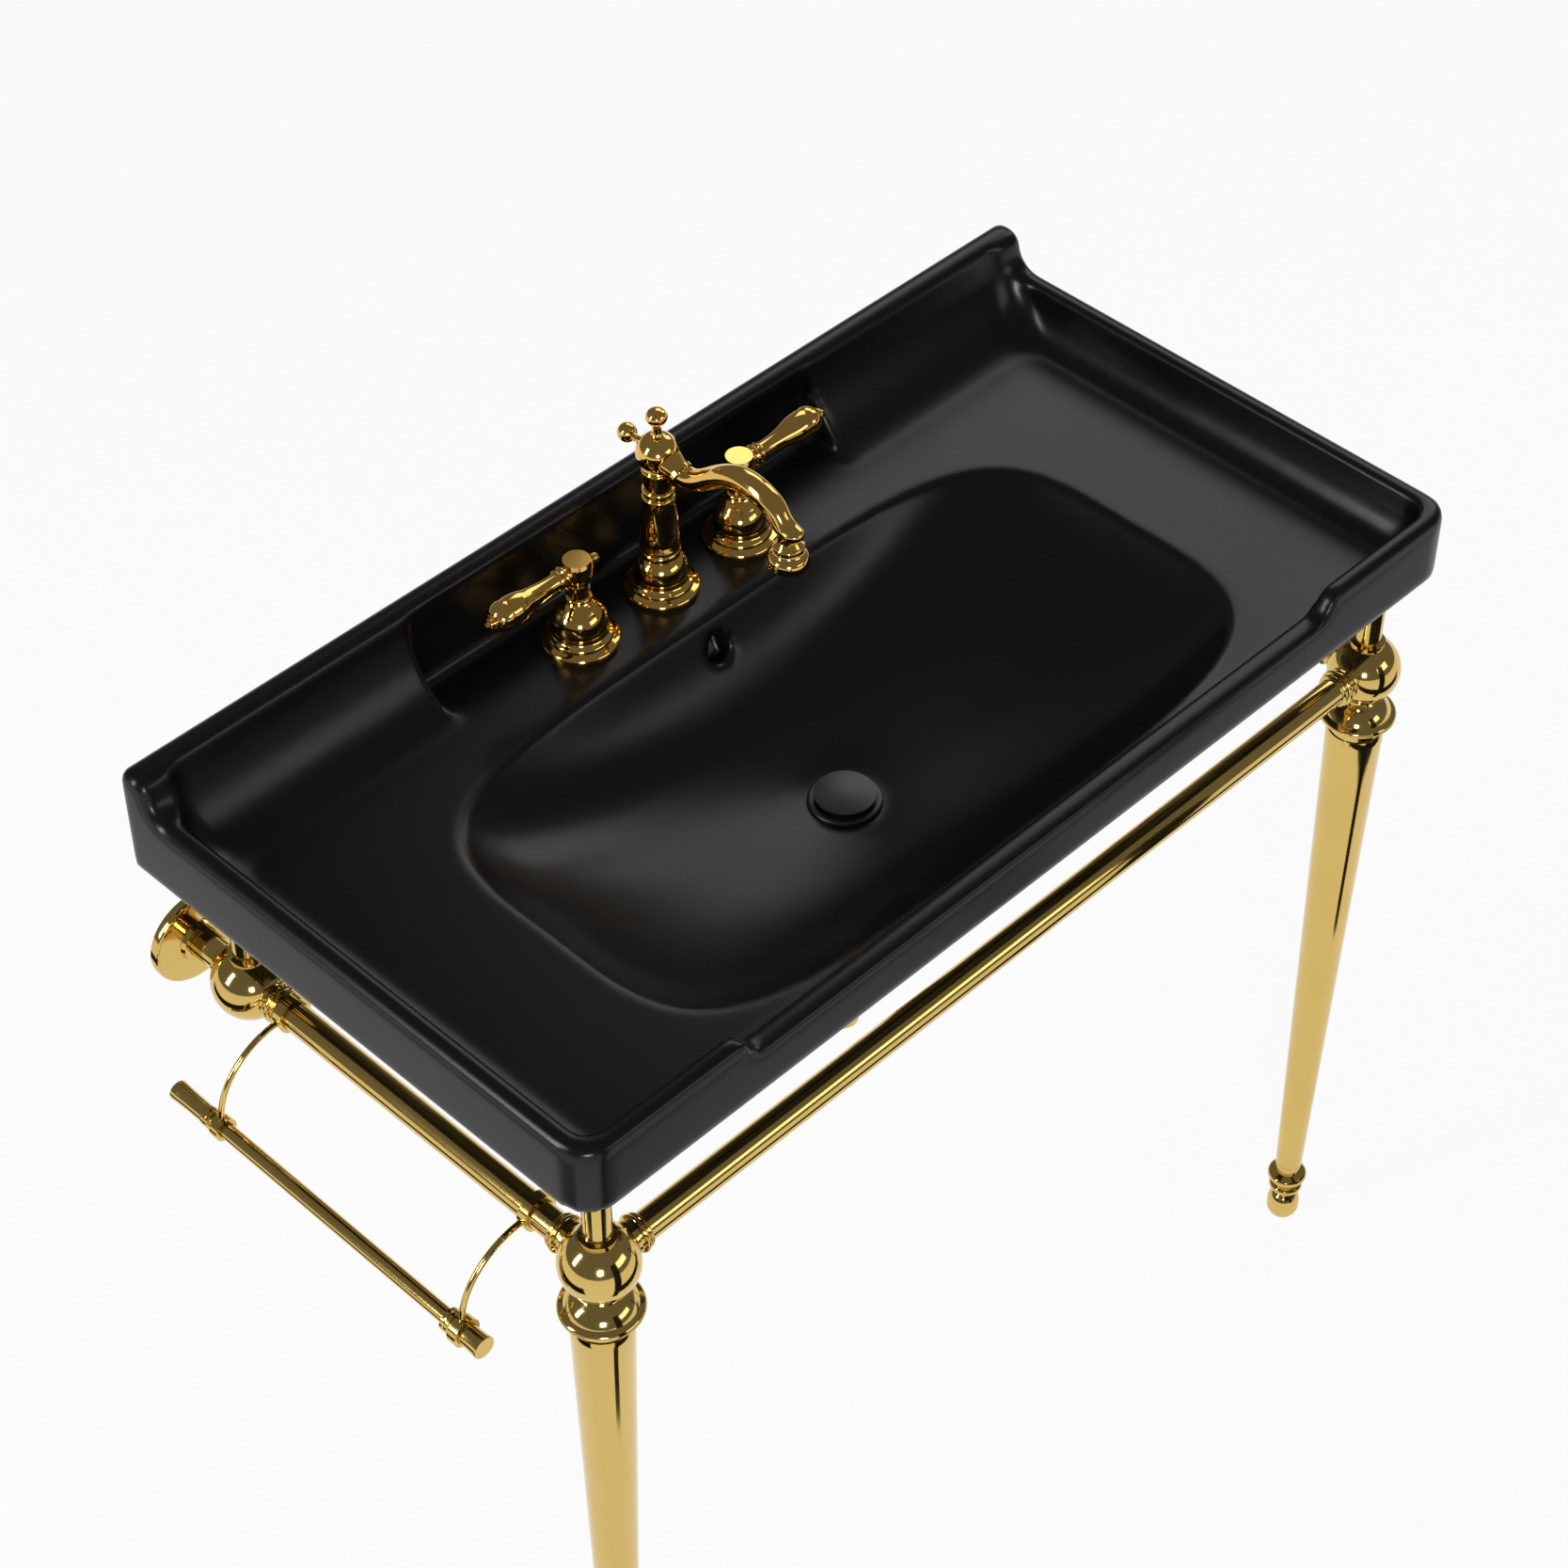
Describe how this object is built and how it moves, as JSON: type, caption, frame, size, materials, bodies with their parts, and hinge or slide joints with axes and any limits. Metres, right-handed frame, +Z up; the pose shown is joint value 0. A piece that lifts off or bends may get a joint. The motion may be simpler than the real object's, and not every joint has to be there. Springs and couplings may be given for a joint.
{
  "type": "console washbasin",
  "caption": "Console washbasin: rectangular ceramic basin with a backsplash, lever taps, a swan-neck spout and a pop-up waste, on a metal stand with turned front legs and towel bars.",
  "frame": {"origin": "on the floor, midway between the two ends and midway between the basin's front edge and the wall", "axes": "+X to the right as seen from in front of the basin, +Y to the wall behind it, +Z up"},
  "size_m": [1.0976, 0.516, 1.0629],
  "materials": {
    "black_glaze": "satin",
    "polished_brass": "polished",
    "black_metal": "satin",
    "black_rubber": "matte"
  },
  "bodies": {
    "stand": {"basin": "black_glaze", "deck_nuts": "polished_brass", "deck_washers": "black_rubber", "drain_body": "polished_brass", "drain_flange": "black_metal", "drain_nut": "polished_brass", "drain_seal": "black_rubber", "front_rail": "polished_brass", "left_foot": "polished_brass", "left_front_joint": "polished_brass", "left_leg": "polished_brass", "left_leg_collar": "polished_brass", "left_rear_joint": "polished_brass", "left_side_rail": "polished_brass", "left_tap_foot": "polished_brass", "left_towel_arms": "polished_brass", "left_towel_bar": "polished_brass", "left_valve": "polished_brass", "left_wall_cover": "polished_brass", "left_wall_tube": "polished_brass", "port_nut": "polished_brass", "rear_knob": "polished_brass", "right_foot": "polished_brass", "right_front_joint": "polished_brass", "right_leg": "polished_brass", "right_leg_collar": "polished_brass", "right_rear_joint": "polished_brass", "right_side_rail": "polished_brass", "right_tap_foot": "polished_brass", "right_towel_arms": "polished_brass", "right_towel_bar": "polished_brass", "right_valve": "polished_brass", "right_wall_cover": "polished_brass", "right_wall_tube": "polished_brass", "spout": "polished_brass", "spout_column": "polished_brass", "spout_foot": "polished_brass", "spout_hub": "polished_brass", "spout_outlet": "polished_brass", "spout_shank": "polished_brass", "support_pads": "black_rubber", "support_posts": "polished_brass", "tailpiece": "polished_brass", "wall_plates": "polished_brass"},
    "left_handle": {"left_hub": "polished_brass", "left_lever": "polished_brass"},
    "right_handle": {"right_hub": "polished_brass", "right_lever": "polished_brass"},
    "lift": {"lift_rod": "polished_brass", "lift_strap": "polished_brass", "strap_clamp": "polished_brass", "strap_screw": "polished_brass"},
    "pivot": {"pivot_rod": "polished_brass"},
    "plug": {"stopper": "black_metal"}
  },
  "joints": [
    {"name": "left_handle_turn", "type": "hinge", "parent": "stand", "child": "left_handle", "pos_m": [-0.0924, 0.1818, 0.9525], "axis": [0, 0, 1], "range_deg": [0, 90]},
    {"name": "right_handle_turn", "type": "hinge", "parent": "stand", "child": "right_handle", "pos_m": [0.0924, 0.1818, 0.9525], "axis": [0, 0, 1], "range_deg": [-90, 0]},
    {"name": "lift_slide", "type": "slide", "parent": "stand", "child": "lift", "axis": [0, 0, 1], "range_m": [0, 0.018]},
    {"name": "pivot_tilt", "type": "hinge", "parent": "stand", "child": "pivot", "pos_m": [0, -0.004, 0.69], "axis": [1, 0, 0], "range_deg": [0, 11.5]},
    {"name": "plug_rise", "type": "slide", "parent": "stand", "child": "plug", "axis": [0, 0, 1], "range_m": [-0.0056, 0]}
  ],
  "couplings": [
    {"joint": "pivot_tilt", "follows": "lift_slide", "rad_per_m": 10.87},
    {"joint": "plug_rise", "follows": "lift_slide", "ratio": -0.3043}
  ]
}
